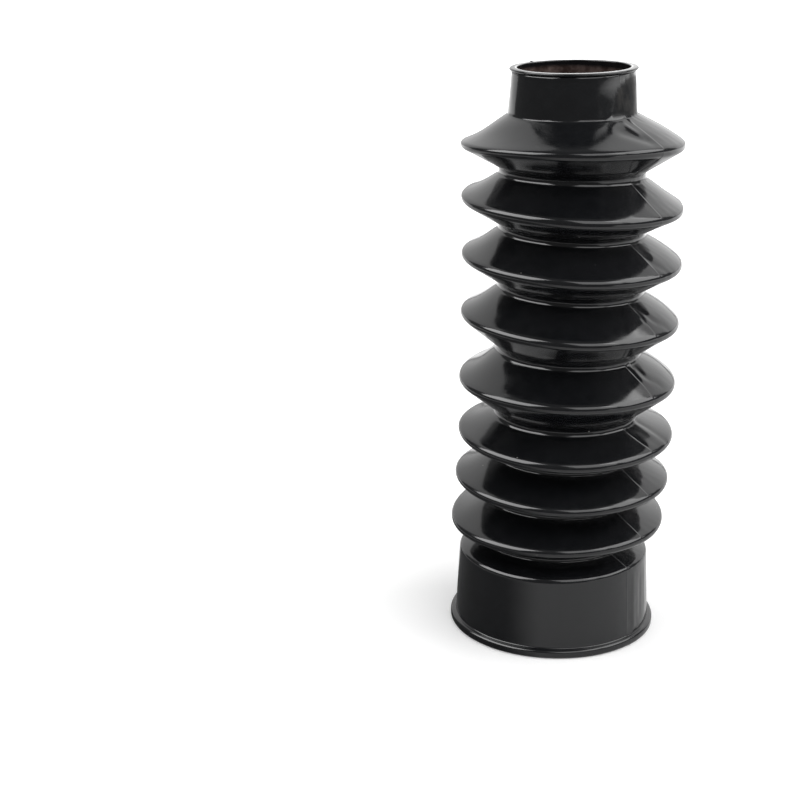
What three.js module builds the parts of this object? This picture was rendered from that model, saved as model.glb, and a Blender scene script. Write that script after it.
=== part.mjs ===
// Fork gaiter: one rubber moulding, a narrow collar, eight pleats and a wide cuff that it stands on.
// Millimetres, +Z up. The origin is on the standing plane, under the middle of the outline's box.
import * as THREE from 'three';

// Collar round the fork tube, at the top
const TUBE_BORE = 36;
const COLLAR_WALL = 1.7;
const COLLAR_BASE_D = 41.5;
const COLLAR_HEIGHT = 14.4;
const COLLAR_FILLET = 0.6;
const LIP_PROUD = 0.8;
const LIP_THICKNESS = 0.9;

// Bellows between collar and cuff
const PLEAT_COUNT = 8;
const PLEAT_D = 72;
const VALLEY_D = 47.5;
const PLEAT_PITCH = 18.3;
const CREST_ROUND = 1.8;
const VALLEY_ROUND = 1.8;
const BELLOWS_WALL = 1.6;
const TOP_CONE_RISE = 10.2;

// Cuff over the slider, at the bottom
const SLIDER_BORE = 62;
const CUFF_TOP_D = 64.2;
const CUFF_FOOT_D = 66.4;
const CUFF_SIDE = 26;
const SHOULDER_ROUND = 1.8;
const SHELF_VALLEY_D = 49;
const SHELF_RISE = 5.5;
const SHELF_TO_CREST = 6.9;
const BEAD_D = 70;
const BEAD_HEIGHT = 2.9;
const BEAD_ROUND = 1;
const BEAD_FILLET = 0.5;
const EDGE_ROUND = 0.3;

// How the soft moulding stands: its axis leans and bows to +X, its pleats are unevenly spaced, and
// each is a little askew and hangs at its sides. Lists run from the lowest pleat up. The front is
// at -Y and the right at +X. Angles are in degrees.
const LEAN = 2.2;
const BOW = 2;
const PITCH_CHANGES = [-3.2, -2.4, -0.2, 3.2, 1.5, 0.4, 0.4];
const VALLEY_LIFTS = [0.8, 0.9, -2, -0.3, 0.3, 0.5, 0.4];
const FRONT_DOWN = [3, 0.7, 1.5, 1.6, -0.5, 0.5, 1, -4];
const RIGHT_DOWN = [-1, 0.5, 0.5, 0.5, 2.3, 2, 2.5, -0.5];
const SIDE_SAG = [1.5, -0.6, -0.9, 1.1, -0.65, 0.1, 0.8, 0];
const COLLAR_FRONT_DOWN = -1.3;
const COLLAR_RIGHT_DOWN = -1.2;

// Fineness of the facets: sides round the axis, and how far a facet may lie off a small round
const SIDES = 36;
const FACET_ERROR = 0.15;

const pick = (list, index) => list[index % list.length];

// The section is a belt run round a row of small circles, with the rubber on the belt's right.
// bend is a circle's radius, positive where the belt turns left round it and negative to the right.
const hollow = (radius, z, round) => ({ r: radius + round, z, bend: round });
const ridge = (radius, z, round) => ({ r: radius - round, z, bend: -round });
const boreEdge = (radius, z) => ({ r: radius + EDGE_ROUND, z, bend: -EDGE_ROUND });

function crestHeights() {
  const heights = [CUFF_SIDE + SHELF_RISE + SHELF_TO_CREST];
  while (heights.length < PLEAT_COUNT) {
    heights.push(heights.at(-1) + PLEAT_PITCH + pick(PITCH_CHANGES, heights.length - 1));
  }
  return heights;
}

const CRESTS = crestHeights();
const COLLAR_BASE_Z = CRESTS.at(-1) + TOP_CONE_RISE;
const TOP_Z = COLLAR_BASE_Z + COLLAR_HEIGHT;

// Rounds that the outer skin and the inner skin share, from the collar's base down to the shoulder
function bellowsRounds() {
  const rounds = [hollow(COLLAR_BASE_D / 2, COLLAR_BASE_Z, COLLAR_FILLET)];
  for (let i = PLEAT_COUNT - 1; i > 0; i--) {
    rounds.push(ridge(PLEAT_D / 2, CRESTS[i], CREST_ROUND));
    const valley = (CRESTS[i] + CRESTS[i - 1]) / 2 + pick(VALLEY_LIFTS, i - 1);
    rounds.push(hollow(VALLEY_D / 2, valley, VALLEY_ROUND));
  }
  rounds.push(ridge(PLEAT_D / 2, CRESTS[0], CREST_ROUND));
  rounds.push(hollow(SHELF_VALLEY_D / 2, CUFF_SIDE + SHELF_RISE, VALLEY_ROUND));
  rounds.push(ridge(CUFF_TOP_D / 2, CUFF_SIDE, SHOULDER_ROUND));
  return rounds;
}

// Mouth of the collar, from its inner edge outward and down to the foot of the lip
function lipRounds() {
  const collarRadius = TUBE_BORE / 2 + COLLAR_WALL;
  const lipRound = LIP_THICKNESS / 2;
  return [
    boreEdge(TUBE_BORE / 2, TOP_Z - EDGE_ROUND),
    ridge(collarRadius + LIP_PROUD, TOP_Z - lipRound, lipRound),
    hollow(collarRadius, TOP_Z - LIP_THICKNESS, 0),
  ];
}

// Bead at the cuff's foot, from the side of the cuff outward, down and in to the edge of the bore
function beadRounds() {
  return [
    hollow(CUFF_FOOT_D / 2, BEAD_HEIGHT + BEAD_FILLET, BEAD_FILLET),
    ridge(BEAD_D / 2, BEAD_HEIGHT - BEAD_ROUND, BEAD_ROUND),
    ridge(BEAD_D / 2, BEAD_ROUND, BEAD_ROUND),
    boreEdge(SLIDER_BORE / 2, EDGE_ROUND),
  ];
}

// The inner skin follows the same circles the other way, one wall further in
const innerSkin = (rounds) => rounds.toReversed().map(
  ({ r, z, bend }) => ({ r, z, bend: -(bend + BELLOWS_WALL) }),
);

// Heading of the straight stretch that leaves circle a and meets circle b
function heading(a, b) {
  const dr = b.r - a.r;
  const dz = b.z - a.z;
  return Math.atan2(dz, dr) - Math.asin((b.bend - a.bend) / Math.hypot(dr, dz));
}

// Points of the belt where it lies on one circle, given its headings before and after it
function arcPoints({ r, z, bend }, before, after) {
  const turn = Math.atan2(Math.sin(after - before), Math.cos(after - before));
  const radius = Math.abs(bend);
  const facet = radius > FACET_ERROR ? 2 * Math.acos(1 - FACET_ERROR / radius) : Math.PI;
  const steps = radius > 0 ? Math.ceil(Math.abs(turn) / facet) : 0;
  return Array.from({ length: steps + 1 }, (_, i) => {
    const angle = before + (steps ? turn * i / steps : 0);
    return new THREE.Vector2(r + bend * Math.sin(angle), z - bend * Math.cos(angle));
  });
}

function sectionOutline() {
  const shared = bellowsRounds();
  const belt = [...lipRounds(), ...shared, ...beadRounds(), ...innerSkin(shared)];
  const headings = belt.map((round, i) => heading(round, pick(belt, i + 1)));
  const points = belt.flatMap((round, i) => arcPoints(round, headings.at(i - 1), headings[i]));
  return [...points, points[0].clone()].reverse();
}

// Heights at which the set of the rings is known; it changes evenly from one to the next
function stations() {
  const pleats = CRESTS.map((z, i) => ({
    z, front: pick(FRONT_DOWN, i), right: pick(RIGHT_DOWN, i), sag: pick(SIDE_SAG, i),
  }));
  return [
    { z: CUFF_SIDE, front: 0, right: 0, sag: 0 },
    ...pleats,
    { z: COLLAR_BASE_Z, front: COLLAR_FRONT_DOWN, right: COLLAR_RIGHT_DOWN, sag: 0 },
  ];
}

function setAt(list, z) {
  const next = list.findIndex((station) => station.z > z);
  if (next === 0) return list[0];
  if (next < 0) return list.at(-1);
  const [low, high] = [list[next - 1], list[next]];
  const share = (z - low.z) / (high.z - low.z);
  return {
    front: THREE.MathUtils.lerp(low.front, high.front, share),
    right: THREE.MathUtils.lerp(low.right, high.right, share),
    sag: THREE.MathUtils.lerp(low.sag, high.sag, share),
  };
}

// Moves every ring sideways, tips it and bends it, as the soft bellows stands on its cuff
function settle(geometry) {
  const list = stations();
  const position = geometry.getAttribute('position');
  for (let i = 0; i < position.count; i++) {
    const [x, y, z] = [position.getX(i), position.getY(i), position.getZ(i)];
    const { front, right, sag } = setAt(list, z);
    const share = THREE.MathUtils.clamp((z - CUFF_SIDE) / (COLLAR_BASE_Z - CUFF_SIDE), 0, 1);
    const aside = LEAN * share + BOW * Math.sin(Math.PI * share);
    const drop = x * Math.tan(THREE.MathUtils.degToRad(right))
      - y * Math.tan(THREE.MathUtils.degToRad(front));
    const bend = sag * (y / (PLEAT_D / 2)) ** 2;
    position.setXYZ(i, x + aside, y, z - drop + bend);
  }
}

function gaiterGeometry() {
  const geometry = new THREE.LatheGeometry(sectionOutline(), SIDES);
  geometry.rotateX(Math.PI / 2);
  settle(geometry);
  geometry.computeBoundingBox();
  const middle = geometry.boundingBox.getCenter(new THREE.Vector3());
  geometry.translate(-middle.x, -middle.y, 0);
  geometry.computeVertexNormals();
  return geometry;
}

const rubber = new THREE.MeshStandardMaterial({ color: 0x161719, roughness: 0.25, metalness: 0 });
const gaiter = new THREE.Mesh(gaiterGeometry(), rubber);
gaiter.name = 'gaiter';

const model = new THREE.Group();
model.name = 'fork_gaiter';
model.add(gaiter);

export default model;
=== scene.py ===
"""Fork gaiter of glossy black rubber, standing on a white floor in soft studio light.

The moulding is one surface of revolution: a section of small rounds joined by straight walls is
swept round the axis, given its mould marks and dents, and then settled as the soft part stands.
Lengths in this file are metres unless a name or comment says millimetres. The front is at -Y.
"""

import bpy
import numpy as np
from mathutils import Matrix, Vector


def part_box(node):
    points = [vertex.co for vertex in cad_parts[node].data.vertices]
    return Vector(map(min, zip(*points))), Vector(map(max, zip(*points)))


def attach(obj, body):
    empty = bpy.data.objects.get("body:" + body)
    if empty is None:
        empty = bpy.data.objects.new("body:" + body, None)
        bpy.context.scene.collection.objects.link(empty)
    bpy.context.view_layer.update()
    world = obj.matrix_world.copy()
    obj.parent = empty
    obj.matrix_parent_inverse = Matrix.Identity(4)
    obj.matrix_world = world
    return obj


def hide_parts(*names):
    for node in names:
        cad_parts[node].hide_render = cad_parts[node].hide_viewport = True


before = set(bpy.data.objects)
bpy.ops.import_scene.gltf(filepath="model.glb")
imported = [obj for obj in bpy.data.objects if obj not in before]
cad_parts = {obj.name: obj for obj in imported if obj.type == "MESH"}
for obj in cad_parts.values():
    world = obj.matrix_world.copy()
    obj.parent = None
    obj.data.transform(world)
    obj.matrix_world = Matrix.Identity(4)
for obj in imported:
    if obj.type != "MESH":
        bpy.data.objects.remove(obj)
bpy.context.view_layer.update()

bl_info = {
    "name": "Fork gaiter",
    "version": (1, 0, 0),
    "blender": (4, 5, 0),
    "location": "View3D > Sidebar > Gaiter",
    "description": "Builds a moulded rubber fork gaiter and the studio that it is shown in",
    "category": "Object",
}

CAD_NODE = "gaiter"
WORN = "worn"
MM = 0.001

# Sizes of the moulding that a user seldom changes, in millimetres
COLLAR_WALL = 1.7
COLLAR_BASE_D = 41.5
COLLAR_HEIGHT = 14.4
COLLAR_FILLET = 0.6
LIP_PROUD = 0.8
LIP_THICKNESS = 0.9
PLEAT_COUNT = 8
PLEAT_PITCH = 18.3
TOP_CONE_RISE = 10.2
CUFF_TOP_D = 64.2
CUFF_FOOT_D = 66.4
CUFF_SIDE = 26
SHOULDER_ROUND = 1.8
SHELF_VALLEY_D = 49
SHELF_RISE = 5.5
SHELF_TO_CREST = 6.9
BEAD_D = 70
BEAD_HEIGHT = 2.9
BEAD_ROUND = 1
BEAD_FILLET = 0.5
EDGE_ROUND = 0.3

# How the soft moulding stands, from the lowest pleat up, in millimetres and degrees
LEAN = 2.2
BOW = 2
PITCH_CHANGES = (-3.2, -2.4, -0.2, 3.2, 1.5, 0.4, 0.4)
VALLEY_LIFTS = (0.8, 0.9, -2, -0.3, 0.3, 0.5, 0.4)
FRONT_DOWN = (3, 0.7, 1.5, 1.6, -0.5, 0.5, 1, -4)
RIGHT_DOWN = (-1, 0.5, 0.5, 0.5, 2.3, 2, 2.5, -0.5)
SIDE_SAG = (1.5, -0.6, -0.9, 1.1, -0.65, 0.1, 0.8, 0)
COLLAR_FRONT_DOWN = -1.3
COLLAR_RIGHT_DOWN = -1.2

# How far each pleat is pushed aside, and how far the cone above its crest bulges at the right and
# at the left, from the lowest pleat up, in millimetres
ASIDE = (0.2, 0.6, 0.7, 0.1, 0, 0.1, 0, 0)
BULGE_RIGHT = (0, 0.1, 0.1, 0.65, 0.7, 0.45, -0.2, 0.45)
BULGE_LEFT = (-0.3, -0.5, -0.6, -0.6, -0.5, -0.6, -0.6, -0.8)

# Sines of the angles between which those bulges set in, and the power that lowers their middle
BULGE_FROM_RIGHT = (0.5, 0.95)
BULGE_FROM_LEFT = (0.2, 1)
BULGE_LOWERED = 0.8

# Ripples beside the front parting line: how far to its right they are deepest and how far they
# reach from there, in millimetres, and the cosine of the angle above which there are any
RIPPLE_MIDDLE = 4
RIPPLE_REACH = 9
RIPPLE_FRONT = -0.2

# Height below the mouth that stays smooth, and the height over which waves and ripples set in
# below that, in millimetres
LIP_BAND = 2

# Width of the step between the two halves of the mould, and the height over which it fades out
# below the collar's mouth, in millimetres
STEP_WIDTH = 0.25
STEP_FADE = 3

# Turn of the parting line at the foot, the shoulder, each crest and the collar's base and mouth
LINE_TURNS = (-0.6, 0.2, 0.7, 2.4, 1.6, -0.2, -0.8, -0.4, -0.1, -0.5, 2, -5.5)

# Marks pressed into the skin or standing on it, each along a short line: from angle and height
# to angle and height, then half its width and how far it stands proud, which is less than 0 in a
# dent. Angles are in degrees from the front to the right, heights and widths in millimetres.
MARKS = (
    (53, 175.4, 53.5, 175.2, 0.5, 0.55),
    (36, 172.5, 46.5, 169.9, 2.3, -0.44),
    (43, 174.3, 46, 171.5, 0.9, 0.2),
    (57, 137, 53.5, 133, 1.4, -0.12),
    (53.5, 133, 58.5, 130.6, 1.2, -0.14),
    (56, 117, 57.5, 113.6, 1.5, -0.13),
    (57.5, 113.6, 63.5, 111.2, 1.3, -0.18),
    (50.4, 114.2, 50.6, 113.2, 0.7, -0.2),
    (62, 96.5, 59.5, 93.5, 1.5, -0.14),
    (59.5, 93.5, 64.5, 90.5, 1.3, -0.18),
    (53.2, 95.6, 52.2, 93.4, 0.6, -0.15),
    (56.5, 97.3, 56, 96.9, 0.5, 0.3),
    (70, 75, 66.5, 72.3, 1.5, 0.16),
    (76, 75, 70, 70.8, 1.3, -0.13),
    (52.5, 74.5, 53.5, 72.2, 0.7, -0.12),
    (55, 4.7, 66, 4.7, 0.6, -0.45),
    (-134.2, 190.8, -133.5, 190.8, 0.2, 0.4),
    (58, 23, 58, 6, 1.3, 0.12),
    (67, 22, 66, 8, 1.1, -0.12),
    (75, 23, 75, 9, 1.2, 0.1),
)

# Worn patch on the collar: its left edge as heights and angles, and its right edge's angle
WORN_EDGE = ((176, 36.5), (178.9, 38.5), (182.9, 41.4), (185.5, 46), (186.9, 51.5), (189.4, 66))
WORN_END = 84

# Distances past the patch's left edge, in millimetres: between which the wear sets in, by which
# the skin is fully sunk, and between which it comes back out
WORN_START = (-0.2, 0.4)
SUNK_BY = 1.2
SUNK_BACK = (2, 12)

# Angle over which the wear fades before the patch's right edge, in radians
WORN_FADE = 0.25

# How far before the left edge the skin starts to sink, at the lower of these heights and at the
# upper one, in millimetres
LOW_REACH = 2
HIGH_REACH = 10
REACH_HEIGHTS = (174, 188)

# How far the patch stays away from the collar's base and from the lip, in millimetres
WORN_ABOVE_BASE = 0.5
WORN_BELOW_LIP = 0.2

# Fineness of the mesh: columns between the two parting lines, the power that crowds them towards
# the front one, how far a ring lies from the next, as a length run and an angle turned, on the
# outer skin and on the inner one, and steps in which each round of the section is drawn
COLUMNS_PER_HALF = 112
COLUMN_CROWDING = 1.5
OUTER_STEP = (1.5, np.radians(22))
INNER_STEP = (9.0, np.radians(50))
ARC_STEPS = 24

# Columns beside a parting line, in millimetres from it
LINE_COLUMNS = np.array((-0.7, -0.4, -0.2, 0, 0.2, 0.4, 0.7))

# Colours of the rubber and its clouds (lighter inside: painted highlight), the mouth band and dust
OUTER_BLACK = ("#111214", "#151618")
INNER_BROWN = ("#352a27", "#675a56")
MOUTH_BAND_BLACK = "#101113"
DUST = "#8a8884"

# Depths below the collar's mouth, in millimetres, between which the near-black band below it sets
# in
MOUTH_BAND_FROM = 1.8
MOUTH_BAND_TO = 3

# Refraction of the glossy rubber, which is nitrile's, and of the matt rubber, whose rough skin
# reflects less
GLOSSY_IOR = 1.5
MATT_IOR = 1.22

# Values of the cloudy noise between which the mottles go from none to full, and between which the
# roughness changes, and how far it then is from its mean
MOTTLES = (0.38, 0.66)
CLOUDS = (0.3, 0.7)
UNEVEN_GLOSS = 0.03

# Width of a full frame sensor, in millimetres
FULL_FRAME = 36

# Softboxes round the gaiter: direction in degrees from the front to the right, distance, height of
# the middle, width, height, brightness, where 1 is as bright as white card in full light, and how
# much brighter gloss sees it
SOFTBOXES = {
    "left_softbox": (-69, 0.9, 0.88, 1.4, 0.92, 1.4, 4.8),
    "front_right_softbox": (34, 0.9, 0.88, 0.95, 0.92, 2.3, 0.3),
    "right_softbox": (88, 0.9, 0.88, 0.95, 0.92, 3.0, 0.9),
    "back_left_softbox": (-155, 1.3, 0.85, 1.6, 1.7, 0.78, 0),
    "back_right_softbox": (155, 1.3, 0.85, 1.6, 1.7, 0.8, 0.35),
}

# How much further off than its softbox the lamp stands that only gloss sees, and the height on
# the gaiter that every lamp faces
SHINE_BEHIND = 0.03
LIT_HEIGHT = 0.1

# Where the floor's front edge begins and ends, left and right, how far the corner at the far right
# comes forward of that edge, and the corners behind it
FLOOR_FRONT = (-0.45, 0.2)
FLOOR_RIGHT = (3, -2.6)
FLOOR_BACK = ((3, 3), (-3, 3), (-3, 1.95), (-0.62, 0.4))

# Distances from the gaiter between which the far floor gets more lift, and how much that is
FAR_START = 0.4
FAR_END = 0.9
FAR_LIFT = 0.9

# Corners, from its own origin, of the painted shadow: a dark sheet on the floor at the left,
# where only gloss sees it, that darkens the reflections there
PAINTED_SHADOW_CORNERS = ((-0.002, 0), (-0.14, 0.191), (-0.25, 0.071), (-0.2, -0.12), (-0.035, -0.197))

# The painted shadow's origin, its dark tone, and the directions from its origin, in degrees from
# the front to the right, between which it goes over from that tone to the floor's
PAINTED_SHADOW_ORIGIN = (-0.001, -0.021, 0.0004)
PAINTED_SHADOW_TONE = "#707070"
PAINTED_SHADOW_FADE = (-62, -10)


# Surface of the moulding

def hollow(diameter, z, bend):
    """A round that the section bends round from outside, narrowest at this diameter."""
    return (diameter / 2 + bend, z, bend)


def ridge(diameter, z, bend):
    """A round that the section bends round from inside, widest at this diameter."""
    return (diameter / 2 - bend, z, -bend)


def bore_edge(diameter, z):
    """The rounded edge of a bore's mouth."""
    return (diameter / 2 + EDGE_ROUND, z, -EDGE_ROUND)


def crest_heights():
    """Height of each crest: the shelf's crest, and the pitch and its change added up."""
    lowest = CUFF_SIDE + SHELF_RISE + SHELF_TO_CREST
    return lowest + np.concatenate(([0], np.cumsum(PLEAT_PITCH + np.array(PITCH_CHANGES))))


CRESTS = crest_heights()
COLLAR_BASE_Z = CRESTS[-1] + TOP_CONE_RISE
TOP_Z = COLLAR_BASE_Z + COLLAR_HEIGHT


def section_rounds(shape):
    """Rounds of the section as rows of (radius, height, bend), and how many are on the outer skin.

    The inner skin runs round the same centres the other way, with each bend less the wall.
    """
    pleat, valley = shape.pleat_diameter / MM, shape.valley_diameter / MM
    crest_round, valley_round = shape.crest_round / MM, shape.valley_round / MM
    collar = shape.tube_bore / MM + 2 * COLLAR_WALL
    lip = LIP_THICKNESS / 2
    mouth = [
        bore_edge(shape.tube_bore / MM, TOP_Z - EDGE_ROUND),
        ridge(collar + 2 * LIP_PROUD, TOP_Z - lip, lip),
        hollow(collar, TOP_Z - LIP_THICKNESS, 0),
    ]
    shared = [hollow(COLLAR_BASE_D, COLLAR_BASE_Z, COLLAR_FILLET)]
    for i in range(PLEAT_COUNT - 1, 0, -1):
        middle = (CRESTS[i] + CRESTS[i - 1]) / 2 + VALLEY_LIFTS[i - 1]
        shared += [ridge(pleat, CRESTS[i], crest_round), hollow(valley, middle, valley_round)]
    shared += [
        ridge(pleat, CRESTS[0], crest_round),
        hollow(SHELF_VALLEY_D, CUFF_SIDE + SHELF_RISE, valley_round),
        ridge(CUFF_TOP_D, CUFF_SIDE, SHOULDER_ROUND),
    ]
    foot = [
        hollow(CUFF_FOOT_D, BEAD_HEIGHT + BEAD_FILLET, BEAD_FILLET),
        ridge(BEAD_D, BEAD_HEIGHT - BEAD_ROUND, BEAD_ROUND),
        ridge(BEAD_D, BEAD_ROUND, BEAD_ROUND),
        bore_edge(shape.slider_bore / MM, EDGE_ROUND),
    ]
    wall = shape.wall / MM
    inner = [(r, z, -(bend + wall)) for r, z, bend in reversed(shared)]
    outer = mouth + shared + foot
    return np.array(outer + inner, float), len(outer)


def section_outline(shape):
    """Closed outline of the section: radius, height, heading and 1 on the outer skin, 0 inside.

    The outline leaves round a for round b with the bearing from a to b less
    asin((bend b - bend a) / distance). On a round it is the centre plus bend times
    (sin heading, -cos heading). Rings are then spaced evenly in a measure that adds the length
    run to the angle turned, each over its own step.
    """
    rounds, outer_count = section_rounds(shape)
    radius, height, bend = rounds.T
    dr, dz, db = (np.roll(rounds, -1, axis=0) - rounds).T
    leave = np.arctan2(dz, dr) - np.arcsin(db / np.hypot(dr, dz))
    turn = (leave - np.roll(leave, 1) + np.pi) % (2 * np.pi) - np.pi
    arrive = leave[-1] + np.concatenate(([0], np.cumsum(turn)[:-1]))
    heading = arrive[:, None] + turn[:, None] * np.linspace(0, 1, ARC_STEPS + 1)
    r = radius[:, None] + bend[:, None] * np.sin(heading)
    z = height[:, None] - bend[:, None] * np.cos(heading)
    skin = np.repeat((np.arange(len(rounds)) < outer_count).astype(float), ARC_STEPS + 1)

    r, z, heading = (np.append(a, a.flat[0]) for a in (r, z, heading))
    heading[-1] += turn.sum()
    skin = np.append(skin, skin[0])
    on_outer = (skin[:-1] * skin[1:]) > 0
    length_step = np.where(on_outer, OUTER_STEP[0], INNER_STEP[0])
    angle_step = np.where(on_outer, OUTER_STEP[1], INNER_STEP[1])
    run = np.hypot(np.diff(r), np.diff(z)) / length_step + np.abs(np.diff(heading)) / angle_step
    measure = np.concatenate(([0], np.cumsum(run)))
    at = np.linspace(0, measure[-1], int(measure[-1]), endpoint=False)
    return tuple(np.interp(at, measure, a) for a in (r, z, heading, skin))


def line_angle(height, shape):
    """Angle of the front parting line on every ring, in radians from the front to the right."""
    stations = np.concatenate(([0, CUFF_SIDE], CRESTS, [COLLAR_BASE_Z, TOP_Z]))
    return shape.parting_angle + np.radians(np.interp(height, stations, LINE_TURNS))


def column_angles(radius, line):
    """Angle of every column on every ring, in radians from the front towards the right.

    Beside the two parting lines the columns keep their distance in millimetres, so they are at
    the line plus distance / radius. Between them the share of the half turn is a power of the
    column's number, which crowds the columns towards the front line from both sides.
    """
    margin = LINE_COLUMNS[-1] / radius[:, None]
    near = LINE_COLUMNS / radius[:, None]
    share = np.linspace(0, 1, COLUMNS_PER_HALF + 2)[1:-1] ** COLUMN_CROWDING
    after = margin + share * (np.pi - 2 * margin)
    before = margin + (1 - share[::-1]) * (np.pi - 2 * margin)
    return line[:, None] + np.concatenate((near, after, np.pi + near, np.pi + before), axis=1)


def settle(x, y, z):
    """Move, tip and bend every ring as the soft bellows stands on its cuff, in millimetres.

    x gains lean * s + bow * sin(pi s), s being the share of the way from shoulder to collar.
    z loses x tan(right) - y tan(front) and gains sag (y / pleat radius)^2. The angles and the sag
    are known at the shoulder, the crests and the collar's base, and change evenly between them.
    """
    stations = np.concatenate(([CUFF_SIDE], CRESTS, [COLLAR_BASE_Z]))
    front = np.radians(np.interp(z, stations, (0, *FRONT_DOWN, COLLAR_FRONT_DOWN)))
    right = np.radians(np.interp(z, stations, (0, *RIGHT_DOWN, COLLAR_RIGHT_DOWN)))
    sag = np.interp(z, stations, (0, *SIDE_SAG, 0))
    share = np.clip((z - CUFF_SIDE) / (COLLAR_BASE_Z - CUFF_SIDE), 0, 1)
    aside = LEAN * share + BOW * np.sin(np.pi * share)
    aside += np.interp(z, stations, (0, *ASIDE, 0))
    half_pleat = bpy.context.scene.gaiter_shape.pleat_diameter / MM / 2
    rise = y * np.tan(front) - x * np.tan(right) + sag * (y / half_pleat) ** 2
    return x + aside, y, z + rise


def flash(distance, shape):
    """Height of the parting line's flash: the full height times exp(-(distance / width)^2)."""
    return shape.flash_height / MM * np.exp(-(distance / (shape.flash_width / MM / 2)) ** 2)


def stroke(angle, run, radius, start, end, half_width):
    """Bell exp(-(distance / half width)^2) about a short line drawn on the skin.

    The skin is laid flat about each vertex: across is the angle times that vertex's radius, and
    along is the run down the section. The distance is to the nearest point of the line.
    """
    across, along = ((point[0] - angle) * radius for point in (start, end))
    down, further = start[1] - run, end[1] - run
    step_across, step_down = along - across, further - down
    reach = np.maximum(step_across ** 2 + step_down ** 2, 1e-9)
    share = np.clip(-(across * step_across + down * step_down) / reach, 0, 1)
    distance = np.hypot(across + share * step_across, down + share * step_down)
    return np.exp(-(distance / half_width) ** 2)


def waves(angle, run, radius, length, seed, count=9):
    """Sum of plane waves of about this length in random directions, with a spread of about 1."""
    rng = np.random.default_rng(seed)
    total = np.zeros(np.broadcast(angle, run).shape)
    for _ in range(count):
        way, phase = rng.uniform(0, 2 * np.pi, 2)
        number = 2 * np.pi / (length * rng.uniform(0.7, 1.5))
        turns = np.round(number * np.cos(way) * radius.mean())
        total += np.sin(turns * angle + number * np.sin(way) * run + phase)
    return total * np.sqrt(2 / count)


def unevenness(angle, off_line, radius, height, shape):
    """How far each vertex of the outer skin stands proud of the smooth section.

    The marks are added up, and so are shallow waves all over and short ripples beside the front
    parting line, which fade as exp(-((distance - middle) / reach)^2). Waves and ripples fade out
    just below the lip.
    """
    run = np.concatenate(([0], np.cumsum(np.hypot(np.diff(radius), np.diff(height)))))
    falling = np.argsort(height)
    radius, column = radius[:, None], run[:, None]
    near = np.exp(-((off_line * radius - RIPPLE_MIDDLE) / RIPPLE_REACH) ** 2)
    near *= np.cos(angle) > RIPPLE_FRONT
    wave = waves(angle, column, radius, shape.wave_size / MM, seed=3)
    ripple = waves(angle, column, radius, shape.ripple_size / MM, seed=8)
    below_lip = np.clip((TOP_Z - height[:, None]) / LIP_BAND - 1, 0, 1)
    proud = shape.wave_depth / MM * wave * below_lip
    proud += shape.ripple_depth / MM * ripple * near * below_lip
    for angle_1, height_1, angle_2, height_2, half_width, stands in MARKS:
        ends = [(np.radians(a), np.interp(h, height[falling], run[falling]))
                for a, h in ((angle_1, height_1), (angle_2, height_2))]
        turned = (angle - ends[0][0] + np.pi) % (2 * np.pi) - np.pi + ends[0][0]
        proud += stands * stroke(turned, column, radius, *ends, half_width)
    return proud


def smooth_step(value, start, end):
    """Smooth step from 0 at start to 1 at end: 3 t^2 - 2 t^3, t being the share of the way."""
    t = np.clip((value - start) / (end - start), 0, 1)
    return t * t * (3 - 2 * t)


def worn_patch(angle, radius, height):
    """How worn each vertex is, from 0 to 1, and how deep the skin is sunk there, in millimetres.

    The patch lies on the collar to the right of a curved edge. The wear sets in there as a smooth
    step and fades towards the patch's end. The skin sinks before the edge, from further away the
    higher it is, and comes back out past it, both as smooth steps too.
    """
    heights, edges = np.array(WORN_EDGE).T
    edge = np.radians(np.interp(height, heights, edges))[:, None]
    turned = (angle + np.pi) % (2 * np.pi) - np.pi
    past = (turned - edge) * radius[:, None]
    above_base = height > COLLAR_BASE_Z + WORN_ABOVE_BASE
    below_lip = height < TOP_Z - LIP_THICKNESS - WORN_BELOW_LIP
    on_collar = (above_base & below_lip)[:, None]
    end = np.radians(WORN_END)
    worn = smooth_step(past, *WORN_START)
    worn *= (1 - smooth_step(turned, end - WORN_FADE, end)) * on_collar
    reach = LOW_REACH + (HIGH_REACH - LOW_REACH) * smooth_step(height, *REACH_HEIGHTS)[:, None]
    sunk = smooth_step(past, -reach, SUNK_BY) * (1 - smooth_step(past, *SUNK_BACK)) * on_collar
    return worn, sunk


def cone_bulges(angle, height):
    """How far each vertex stands out because the cones above the crests bulge at their sides.

    On a cone the share is sin(pi s^power)^2, s running from crest to valley. Round the axis it
    grows as a smooth step of the sine of the angle to the right, and of its opposite to the left.
    """
    valleys = (CRESTS[1:] + CRESTS[:-1]) / 2 + VALLEY_LIFTS
    tops = np.append(valleys, COLLAR_BASE_Z)
    proud = np.zeros(angle.shape)
    for crest, top, right, left in zip(CRESTS, tops, BULGE_RIGHT, BULGE_LEFT):
        share = np.clip((height - crest) / (top - crest), 0, 1) ** BULGE_LOWERED
        cone = np.sin(np.pi * share)[:, None] ** 2
        side = right * smooth_step(np.sin(angle), *BULGE_FROM_RIGHT)
        side += left * smooth_step(-np.sin(angle), *BULGE_FROM_LEFT)
        proud += cone * side
    return proud


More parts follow.
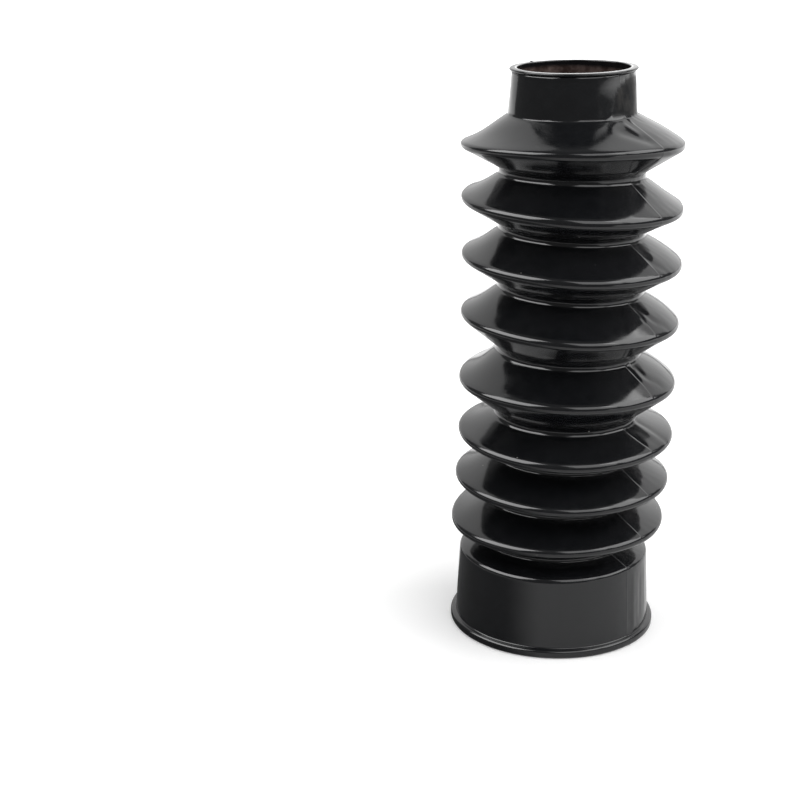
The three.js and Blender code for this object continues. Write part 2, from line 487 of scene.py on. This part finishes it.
def gaiter_points(shape):
    """Vertices of the whole moulding as rings by columns by 3, each ring's skin, each one's wear.

    Every vertex stands out from the section along its normal, (-sin heading, cos heading). The
    halves of the mould differ in height by the mould step, as tanh(distance / step width).
    """
    radius, height, heading, skin = section_outline(shape)
    line = line_angle(height, shape)
    angle = column_angles(radius, line)
    off_line = (angle - line[:, None] + np.pi / 2) % np.pi - np.pi / 2
    proud = flash(off_line * radius[:, None], shape) * skin[:, None]
    outer = skin > 0.5
    proud[outer] += unevenness(angle[outer], off_line[outer], radius[outer], height[outer], shape)
    proud += cone_bulges(angle, height) * skin[:, None]
    worn, sunk = worn_patch(angle, radius, height)
    worn, sunk = worn * outer[:, None], sunk * outer[:, None]
    proud -= shape.worn_depth / MM * sunk
    half = np.tanh(np.sin(angle - line[:, None]) * radius[:, None] / STEP_WIDTH) * skin[:, None]
    half *= np.clip((TOP_Z - height) / STEP_FADE, 0, 1)[:, None]
    r = radius[:, None] - proud * np.sin(heading)[:, None]
    z = height[:, None] + proud * np.cos(heading)[:, None]
    z = np.maximum(z - half * shape.mould_step / MM / 2, 0)
    x, y, z = settle(r * np.sin(angle), -r * np.cos(angle), z)
    return np.stack((x, y, z), axis=-1) * MM, skin, worn


def ring_mesh(name, points, materials, material_of_ring):
    """Mesh of a grid of points that closes on itself both ways, one quad to each grid cell."""
    rings, columns = points.shape[:2]
    index = np.arange(rings * columns).reshape(rings, columns)
    below = np.roll(index, -1, axis=0)
    quads = np.stack((index, below, np.roll(below, -1, axis=1), np.roll(index, -1, axis=1)), -1)
    mesh = bpy.data.meshes.new(name)
    mesh.from_pydata(points.reshape(-1, 3), [], quads.reshape(-1, 4))
    for material in materials:
        mesh.materials.append(material)
    mesh.polygons.foreach_set("material_index", np.repeat(material_of_ring, columns))
    mesh.polygons.foreach_set("use_smooth", np.ones(rings * columns, bool))
    mesh.update()
    return mesh


# Materials

def linear(hex_colour):
    """Linear red, green, blue and alpha of an sRGB hex colour such as "#1a1b1d"."""
    value = np.array([int(hex_colour[i:i + 2], 16) for i in (1, 3, 5)]) / 255
    rgb = np.where(value <= 0.04045, value / 12.92, ((value + 0.055) / 1.055) ** 2.4)
    return (*rgb.tolist(), 1.0)


def add_node(tree, kind, settings=None, inputs=None):
    """Add a node, set its own settings, and set or link its inputs."""
    node = tree.nodes.new(kind)
    for key, value in (settings or {}).items():
        setattr(node, key, value)
    for key, value in (inputs or {}).items():
        if isinstance(value, bpy.types.NodeSocket):
            tree.links.new(value, node.inputs[key])
        else:
            node.inputs[key].default_value = value
    return node


def new_material(name):
    """An empty node material and its output node."""
    material = bpy.data.materials.new(name)
    material.use_nodes = True
    material.node_tree.nodes.clear()
    output = add_node(material.node_tree, "ShaderNodeOutputMaterial")
    return material, output


def moulded_rubber(name, colour, mottle_and_sheen, finish):
    """Nitrile rubber from a polished steel mould: black, with a gloss that the skin's waves break.

    Where the "worn" attribute is 1 the gloss is rubbed off and a grey bloom has come out in
    cloudy mottles. Cloudy noise varies the gloss everywhere and mixes in the clouds' colour, which
    inside is lighter mottles of painted highlight, and a few grains of dust lie on it. Just below
    the collar's mouth the colour goes over to a near-black band.
    """
    material, output = new_material(name)
    tree = material.node_tree
    place = add_node(tree, "ShaderNodeTexCoord").outputs["Object"]
    worn = add_node(tree, "ShaderNodeAttribute", {"attribute_name": WORN}).outputs["Fac"]

    cloud = add_node(tree, "ShaderNodeTexNoise", inputs={
        "Vector": place, "Scale": 1 / finish.mottle_size, "Detail": 5.0, "Roughness": 0.6})
    shade = add_node(tree, "ShaderNodeMapRange", inputs={
        "Value": cloud.outputs["Fac"], "From Min": MOTTLES[0], "From Max": MOTTLES[1]})
    bloom = add_node(tree, "ShaderNodeMath", {"operation": "MULTIPLY"}, {
        0: worn, 1: shade.outputs["Result"]})
    # Inside, the lighter cloud colour is painted highlight in mottles; outside it is random tone
    tint = add_node(tree, "ShaderNodeMix", {"data_type": "RGBA"}, {
        "Factor": shade.outputs["Result"], "A": linear(colour), "B": linear(mottle_and_sheen)})
    # Near-black band just below the mouth: the colour is darker towards the mouth
    height = add_node(tree, "ShaderNodeSeparateXYZ", inputs={"Vector": place}).outputs["Z"]
    near_mouth = add_node(tree, "ShaderNodeMapRange", inputs={
        "Value": height, "From Min": (TOP_Z - MOUTH_BAND_TO) * MM,
        "From Max": (TOP_Z - MOUTH_BAND_FROM) * MM})
    mouth_band = add_node(tree, "ShaderNodeMix", {"data_type": "RGBA"}, {
        "Factor": near_mouth.outputs["Result"], "A": tint.outputs["Result"],
        "B": linear(MOUTH_BAND_BLACK)})
    bloomed = add_node(tree, "ShaderNodeMix", {"data_type": "RGBA"}, {
        "Factor": bloom.outputs["Value"], "A": mouth_band.outputs["Result"],
        "B": (*finish.bloom_colour, 1)})

    grain = add_node(tree, "ShaderNodeTexVoronoi", inputs={
        "Vector": place, "Scale": 1 / finish.dust_spacing})
    dust = add_node(tree, "ShaderNodeMath", {"operation": "LESS_THAN"}, {
        0: grain.outputs["Distance"], 1: finish.dust_size / 2 / finish.dust_spacing})
    dusty = add_node(tree, "ShaderNodeMix", {"data_type": "RGBA"}, {
        "Factor": dust.outputs["Value"], "A": bloomed.outputs["Result"], "B": linear(DUST)})

    uneven = add_node(tree, "ShaderNodeMapRange", inputs={
        "Value": cloud.outputs["Fac"], "From Min": CLOUDS[0], "From Max": CLOUDS[1],
        "To Min": finish.roughness - UNEVEN_GLOSS, "To Max": finish.roughness + UNEVEN_GLOSS})

    peel = add_node(tree, "ShaderNodeTexNoise", inputs={
        "Vector": place, "Scale": 1 / finish.peel_size, "Detail": 3.0, "Roughness": 0.5})
    bump = add_node(tree, "ShaderNodeBump", inputs={
        "Height": peel.outputs["Fac"], "Strength": 1.0, "Distance": finish.peel_depth})
    glossy = add_node(tree, "ShaderNodeBsdfPrincipled", inputs={
        "Base Color": dusty.outputs["Result"], "Roughness": uneven.outputs["Result"],
        "IOR": GLOSSY_IOR, "Normal": bump.outputs["Normal"]})
    matt = add_node(tree, "ShaderNodeBsdfPrincipled", inputs={
        "Base Color": dusty.outputs["Result"], "Roughness": finish.worn_roughness,
        "IOR": MATT_IOR, "Normal": bump.outputs["Normal"]})
    skin = add_node(tree, "ShaderNodeMixShader", inputs={
        0: worn, 1: glossy.outputs["BSDF"], 2: matt.outputs["BSDF"]})
    tree.links.new(skin.outputs["Shader"], output.inputs["Surface"])
    return material


def white_card(name, studio):
    """Matt white card. What the camera sees of it is lifted to white, the more the further off.

    The lift is glow that only camera, glossy and transmission rays see, so it lights nothing. It
    grows evenly with the distance from the gaiter's axis, and gloss sees only what is far off.
    """
    material, output = new_material(name)
    tree = material.node_tree
    path = add_node(tree, "ShaderNodeLightPath").outputs
    card = add_node(tree, "ShaderNodeBsdfDiffuse", inputs={"Color": (*studio.floor_colour, 1)})
    place = add_node(tree, "ShaderNodeTexCoord").outputs["Object"]
    away = add_node(tree, "ShaderNodeVectorMath", {"operation": "LENGTH"}, {0: place})
    near = add_node(tree, "ShaderNodeMapRange", inputs={
        "Value": away.outputs["Value"], "From Min": 0.0, "From Max": studio.white_from,
        "To Min": 0.0, "To Max": studio.floor_lift})
    far = add_node(tree, "ShaderNodeMapRange", inputs={
        "Value": away.outputs["Value"], "From Min": FAR_START, "From Max": FAR_END,
        "To Min": 0.0, "To Max": FAR_LIFT})
    direct = add_node(tree, "ShaderNodeMath", {"operation": "MAXIMUM"}, {
        0: path["Is Camera Ray"], 1: path["Is Transmission Ray"]})
    near_lift = add_node(tree, "ShaderNodeMath", {"operation": "MULTIPLY"}, {
        0: direct.outputs["Value"], 1: near.outputs["Result"]})
    any_sight = add_node(tree, "ShaderNodeMath", {"operation": "MAXIMUM"}, {
        0: direct.outputs["Value"], 1: path["Is Glossy Ray"]})
    lift = add_node(tree, "ShaderNodeMath", {"operation": "MULTIPLY_ADD"}, {
        0: any_sight.outputs["Value"], 1: far.outputs["Result"], 2: near_lift.outputs["Value"]})
    glow = add_node(tree, "ShaderNodeEmission", inputs={"Strength": lift.outputs["Value"]})
    both = add_node(tree, "ShaderNodeAddShader", inputs={
        0: card.outputs["BSDF"], 1: glow.outputs["Emission"]})
    tree.links.new(both.outputs["Shader"], output.inputs["Surface"])
    return material


# What a user would change

class GaiterShape(bpy.types.PropertyGroup):
    tube_bore: bpy.props.FloatProperty(
        name="Tube bore", description="Bore of the collar that grips the fork tube",
        default=36 * MM, min=0.02, max=0.06, unit="LENGTH", precision=4)
    slider_bore: bpy.props.FloatProperty(
        name="Slider bore", description="Bore of the cuff that grips the fork slider",
        default=62 * MM, min=0.03, max=0.065, unit="LENGTH", precision=4)
    pleat_diameter: bpy.props.FloatProperty(
        name="Pleat diameter", description="Diameter over the crests of the pleats",
        default=72 * MM, min=0.05, max=0.1, unit="LENGTH", precision=4)
    valley_diameter: bpy.props.FloatProperty(
        name="Valley diameter", description="Outside diameter in the valleys between pleats",
        default=47.5 * MM, min=0.03, max=0.06, unit="LENGTH", precision=4)
    crest_round: bpy.props.FloatProperty(
        name="Crest rounding", description="Radius that rounds the crests over",
        default=1.8 * MM, min=0.0016, max=0.004, unit="LENGTH", precision=4)
    valley_round: bpy.props.FloatProperty(
        name="Valley rounding", description="Radius in the bottom of the valleys",
        default=1.8 * MM, min=0.0002, max=0.003, unit="LENGTH", precision=4)
    wall: bpy.props.FloatProperty(
        name="Wall", description="Thickness of the rubber in the bellows",
        default=1.6 * MM, min=0.0005, max=0.0017, unit="LENGTH", precision=4)
    parting_angle: bpy.props.FloatProperty(
        name="Parting line", description="Angle of the mould's parting line, from front to right",
        default=np.radians(51.3), subtype="ANGLE")
    flash_height: bpy.props.FloatProperty(
        name="Flash height", description="How far the flash of the parting line stands proud",
        default=0.05 * MM, min=0, max=0.001, unit="LENGTH", precision=5)
    flash_width: bpy.props.FloatProperty(
        name="Flash width", description="Width of the flash of the parting line",
        default=0.5 * MM, min=0.0001, max=0.002, unit="LENGTH", precision=5)
    mould_step: bpy.props.FloatProperty(
        name="Mould step", description="How far the two halves of the mould are out of line",
        default=0.12 * MM, min=0, max=0.001, unit="LENGTH", precision=5)
    worn_depth: bpy.props.FloatProperty(
        name="Worn depth", description="Depth of the worn patch on the collar",
        default=0.7 * MM, min=0, max=0.002, unit="LENGTH", precision=5)
    wave_depth: bpy.props.FloatProperty(
        name="Wave depth", description="Depth of the shallow waves all over the skin",
        default=0.015 * MM, min=0, max=0.001, unit="LENGTH", precision=6)
    wave_size: bpy.props.FloatProperty(
        name="Wave size", description="Length of the shallow waves all over the skin",
        default=14 * MM, min=0.002, max=0.1, unit="LENGTH", precision=4)
    ripple_depth: bpy.props.FloatProperty(
        name="Ripple depth", description="Depth of the ripples beside the front parting line",
        default=0.015 * MM, min=0, max=0.001, unit="LENGTH", precision=6)
    ripple_size: bpy.props.FloatProperty(
        name="Ripple size", description="Length of the ripples beside the front parting line",
        default=4 * MM, min=0.002, max=0.1, unit="LENGTH", precision=4)


class RubberFinish(bpy.types.PropertyGroup):
    roughness: bpy.props.FloatProperty(
        name="Roughness", description="Roughness of the moulded skin",
        default=0.13, min=0, max=1, subtype="FACTOR")
    worn_roughness: bpy.props.FloatProperty(
        name="Worn roughness", description="Roughness where the skin is worn",
        default=0.42, min=0, max=1, subtype="FACTOR")
    bloom_colour: bpy.props.FloatVectorProperty(
        name="Bloom colour", description="Colour of the bloom where the skin is worn",
        subtype="COLOR", size=3, default=linear("#2c2b2a")[:3], min=0, max=1)
    mottle_size: bpy.props.FloatProperty(
        name="Mottle size", description="Size of the cloudy mottles in gloss and bloom",
        default=4 * MM, min=0.0005, max=0.05, unit="LENGTH", precision=4)
    dust_spacing: bpy.props.FloatProperty(
        name="Dust spacing", description="Distance between one grain of dust and the next",
        default=9 * MM, min=0.002, max=0.1, unit="LENGTH", precision=4)
    dust_size: bpy.props.FloatProperty(
        name="Dust size", description="Size of a grain of dust",
        default=0.45 * MM, min=0, max=0.002, unit="LENGTH", precision=5)
    peel_size: bpy.props.FloatProperty(
        name="Skin wave size", description="Size of the shallow waves in the moulded skin",
        default=6 * MM, min=0.0005, max=0.05, unit="LENGTH", precision=4)
    peel_depth: bpy.props.FloatProperty(
        name="Skin wave depth", description="Depth of the shallow waves in the moulded skin",
        default=0.03 * MM, min=0, max=0.001, unit="LENGTH", precision=5)


class GaiterStudio(bpy.types.PropertyGroup):
    floor_colour: bpy.props.FloatVectorProperty(
        name="Floor colour", description="Colour of the white floor", subtype="COLOR", size=3,
        default=linear("#f0f0f0")[:3], min=0, max=1)
    floor_front: bpy.props.FloatProperty(
        name="Floor front", description="How far the white floor comes forward of the gaiter",
        default=0.24, min=0.2, unit="LENGTH")
    floor_lift: bpy.props.FloatProperty(
        name="Floor lift", description="Light added to what is seen of the floor, to reach white",
        default=0.55, min=0, max=1, subtype="FACTOR")
    white_from: bpy.props.FloatProperty(
        name="White from", description="Distance from which the floor has its full lift",
        default=0.1, min=0.05, unit="LENGTH")
    room_light: bpy.props.FloatProperty(
        name="Room light", description="Brightness of the dim room behind the softboxes",
        default=0.19, min=0, max=1, subtype="FACTOR")
    light_level: bpy.props.FloatProperty(
        name="Light level", description="Factor on the brightness of all the softboxes",
        default=1, min=0, max=10)
    camera_place: bpy.props.FloatVectorProperty(
        name="Camera place", description="Where the camera stands, seen from the cuff's axis",
        default=(0, -0.570, 0.2698), subtype="TRANSLATION", unit="LENGTH", precision=4)
    camera_down: bpy.props.FloatProperty(
        name="Camera down", description="How far the camera looks down",
        default=np.radians(18.56), subtype="ANGLE")
    camera_left: bpy.props.FloatProperty(
        name="Camera left", description="How far the camera is turned to its left",
        default=np.radians(5.335), subtype="ANGLE")
    camera_lens: bpy.props.FloatProperty(
        name="Lens", description="Focal length on a full frame sensor, in millimetres", default=80)


def foot_axis_x():
    """Where the cuff's own axis crosses the floor: the middle of the moulding below its bead."""
    mesh = bpy.data.objects[CAD_NODE].data
    points = np.empty(3 * len(mesh.vertices))
    mesh.vertices.foreach_get("co", points)
    x, _, z = points.reshape(-1, 3).T
    foot = x[z < BEAD_HEIGHT * MM]
    return (foot.min() + foot.max()) / 2


def build_floor(studio):
    """A wide flat sheet under the cuff, which ends in front of the gaiter and at its left."""
    front = -studio.floor_front
    left, right = FLOOR_FRONT
    far_right = (FLOOR_RIGHT[0], front + FLOOR_RIGHT[1])
    edge = ((left, front), (right, front), far_right, *FLOOR_BACK)
    mesh = bpy.data.meshes.new("floor")
    mesh.from_pydata([(x, y, 0) for x, y in edge], [], [tuple(range(len(edge)))])
    mesh.materials.append(white_card("white_card", studio))
    floor = bpy.data.objects.new("floor", mesh)
    bpy.context.scene.collection.objects.link(floor)


def painted_shadow_material(name, studio):
    """Painted shadow: a grey sheet that goes over smoothly into the floor's colour round its
    origin.
    """
    material, output = new_material(name)
    tree = material.node_tree
    place = add_node(tree, "ShaderNodeTexCoord").outputs["Object"]
    axes = add_node(tree, "ShaderNodeSeparateXYZ", inputs={"Vector": place}).outputs
    forward = add_node(tree, "ShaderNodeMath", {"operation": "MULTIPLY"}, {0: axes["Y"], 1: -1.0})
    direction = add_node(tree, "ShaderNodeMath", {"operation": "ARCTAN2"}, {
        0: axes["X"], 1: forward.outputs["Value"]})
    dark, light = np.radians(PAINTED_SHADOW_FADE)
    share = add_node(tree, "ShaderNodeMapRange", {"interpolation_type": "SMOOTHSTEP"}, {
        "Value": direction.outputs["Value"], "From Min": dark, "From Max": light})
    tone = add_node(tree, "ShaderNodeMix", {"data_type": "RGBA"}, {
        "Factor": share.outputs["Result"], "A": linear(PAINTED_SHADOW_TONE),
        "B": (*studio.floor_colour, 1)})
    card = add_node(tree, "ShaderNodeBsdfDiffuse", inputs={"Color": tone.outputs["Result"]})
    tree.links.new(card.outputs["BSDF"], output.inputs["Surface"])
    return material


def build_painted_shadow(studio):
    """A painted shadow: a dark sheet flat on the floor, a hair above it, that darkens only what
    gloss reflects.
    """
    mesh = bpy.data.meshes.new("black_card")
    mesh.from_pydata([(x, y, 0) for x, y in PAINTED_SHADOW_CORNERS], [], [tuple(range(len(PAINTED_SHADOW_CORNERS)))])
    mesh.materials.append(painted_shadow_material("black_card", studio))
    card = bpy.data.objects.new("black_card", mesh)
    card.location = PAINTED_SHADOW_ORIGIN
    card.visible_camera = card.visible_diffuse = card.visible_shadow = False
    bpy.context.scene.collection.objects.link(card)


def build_softbox(name, direction, distance, height, width, tall, brightness):
    """A flat lamp that faces the gaiter. Its power is the brightness times pi times its area."""
    lamp = bpy.data.lights.new(name, "AREA")
    lamp.shape = "RECTANGLE"
    lamp.size, lamp.size_y = width, tall
    lamp.energy = brightness * np.pi * width * tall
    softbox = bpy.data.objects.new(name, lamp)
    angle = np.radians(direction)
    place = Vector((distance * np.sin(angle), -distance * np.cos(angle), height))
    softbox.location = place
    softbox.rotation_euler = (place - Vector((0, 0, LIT_HEIGHT))).to_track_quat("Z", "Y").to_euler()
    softbox.visible_camera = False
    bpy.context.scene.collection.objects.link(softbox)
    return softbox


def build_camera(studio):
    camera = bpy.data.objects.new("camera", bpy.data.cameras.new("camera"))
    camera.data.lens = studio.camera_lens
    camera.data.sensor_width = FULL_FRAME
    camera.location = Vector(studio.camera_place) + Vector((foot_axis_x(), 0, 0))
    camera.rotation_euler = (np.pi / 2 - studio.camera_down, 0, studio.camera_left)
    bpy.context.scene.collection.objects.link(camera)
    bpy.context.scene.camera = camera


def build_world(studio):
    """A dim room that lights the gaiter a little and looks white to the camera."""
    world = bpy.data.worlds.new("studio")
    world.use_nodes = True
    tree = world.node_tree
    tree.nodes.clear()
    path = add_node(tree, "ShaderNodeLightPath")
    room = add_node(tree, "ShaderNodeBackground", inputs={
        "Color": (1, 1, 1, 1), "Strength": studio.room_light})
    white = add_node(tree, "ShaderNodeBackground", inputs={"Color": (1, 1, 1, 1)})
    seen = add_node(tree, "ShaderNodeMixShader", inputs={"Fac": path.outputs["Is Camera Ray"]})
    tree.links.new(room.outputs["Background"], seen.inputs[1])
    tree.links.new(white.outputs["Background"], seen.inputs[2])
    output = add_node(tree, "ShaderNodeOutputWorld")
    tree.links.new(seen.outputs["Shader"], output.inputs["Surface"])
    bpy.context.scene.world = world


class GAITER_OT_stage(bpy.types.Operator):
    """Build the floor, the light and the camera"""
    bl_idname = "gaiter.stage"
    bl_label = "Build stage"

    def execute(self, context):
        studio = context.scene.gaiter_studio
        build_floor(studio)
        # Painted shadow on the floor, seen only in the gaiter's reflections
        build_painted_shadow(studio)
        build_world(studio)
        for name, (*place, brightness, shine) in SOFTBOXES.items():
            build_softbox(name, *place, brightness * studio.light_level)
            if shine:
                place[1] += SHINE_BEHIND
                glint = build_softbox(name + "_shine", *place, shine * studio.light_level)
                glint.visible_diffuse = False
        build_camera(studio)
        context.scene.view_settings.view_transform = "Standard"
        return {"FINISHED"}


class GAITER_OT_moulding(bpy.types.Operator):
    """Build the rubber moulding and put it in the place of the plain solid"""
    bl_idname = "gaiter.moulding"
    bl_label = "Build moulding"

    def execute(self, context):
        shape, finish = context.scene.gaiter_shape, context.scene.gaiter_finish
        points, skin, worn = gaiter_points(shape)
        lo, hi = points.reshape(-1, 3).min(0), points.reshape(-1, 3).max(0)
        cad_lo, cad_hi = (np.array(corner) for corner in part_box(CAD_NODE))
        points[..., :2] += ((cad_lo + cad_hi) / 2 - (lo + hi) / 2)[:2]
        outside = moulded_rubber("moulded_rubber", *OUTER_BLACK, finish)
        inside = moulded_rubber("moulded_rubber_inside", *INNER_BROWN, finish)
        mesh = ring_mesh("gaiter_moulding", points, (outside, inside), (skin < 0.5).astype(int))
        mesh.attributes.new(WORN, "FLOAT", "POINT").data.foreach_set("value", worn.ravel())
        piece = bpy.data.objects.new("gaiter_moulding", mesh)
        context.scene.collection.objects.link(piece)
        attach(piece, "root")
        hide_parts(CAD_NODE)
        return {"FINISHED"}


class GAITER_PT_sidebar(bpy.types.Panel):
    """Sizes, finish and studio of the gaiter"""
    bl_idname = "GAITER_PT_sidebar"
    bl_label = "Fork gaiter"
    bl_space_type = "VIEW_3D"
    bl_region_type = "UI"
    bl_category = "Gaiter"

    def draw(self, context):
        scene = context.scene
        for title, group, operator in (
                ("Shape", scene.gaiter_shape, GAITER_OT_moulding.bl_idname),
                ("Rubber", scene.gaiter_finish, GAITER_OT_moulding.bl_idname),
                ("Studio", scene.gaiter_studio, GAITER_OT_stage.bl_idname)):
            box = self.layout.box()
            box.label(text=title)
            for key in type(group).__annotations__:
                box.prop(group, key)
            box.operator(operator)


CLASSES = (GaiterShape, RubberFinish, GaiterStudio, GAITER_OT_moulding, GAITER_OT_stage,
           GAITER_PT_sidebar)
GROUPS = {"gaiter_shape": GaiterShape, "gaiter_finish": RubberFinish, "gaiter_studio": GaiterStudio}


def register():
    for cls in CLASSES:
        bpy.utils.register_class(cls)
    for name, group in GROUPS.items():
        setattr(bpy.types.Scene, name, bpy.props.PointerProperty(type=group))


def unregister():
    for name in GROUPS:
        delattr(bpy.types.Scene, name)
    for cls in reversed(CLASSES):
        bpy.utils.unregister_class(cls)


def main():
    register()
    bpy.ops.gaiter.moulding()
    bpy.ops.gaiter.stage()


if __name__ == "__main__":
    main()
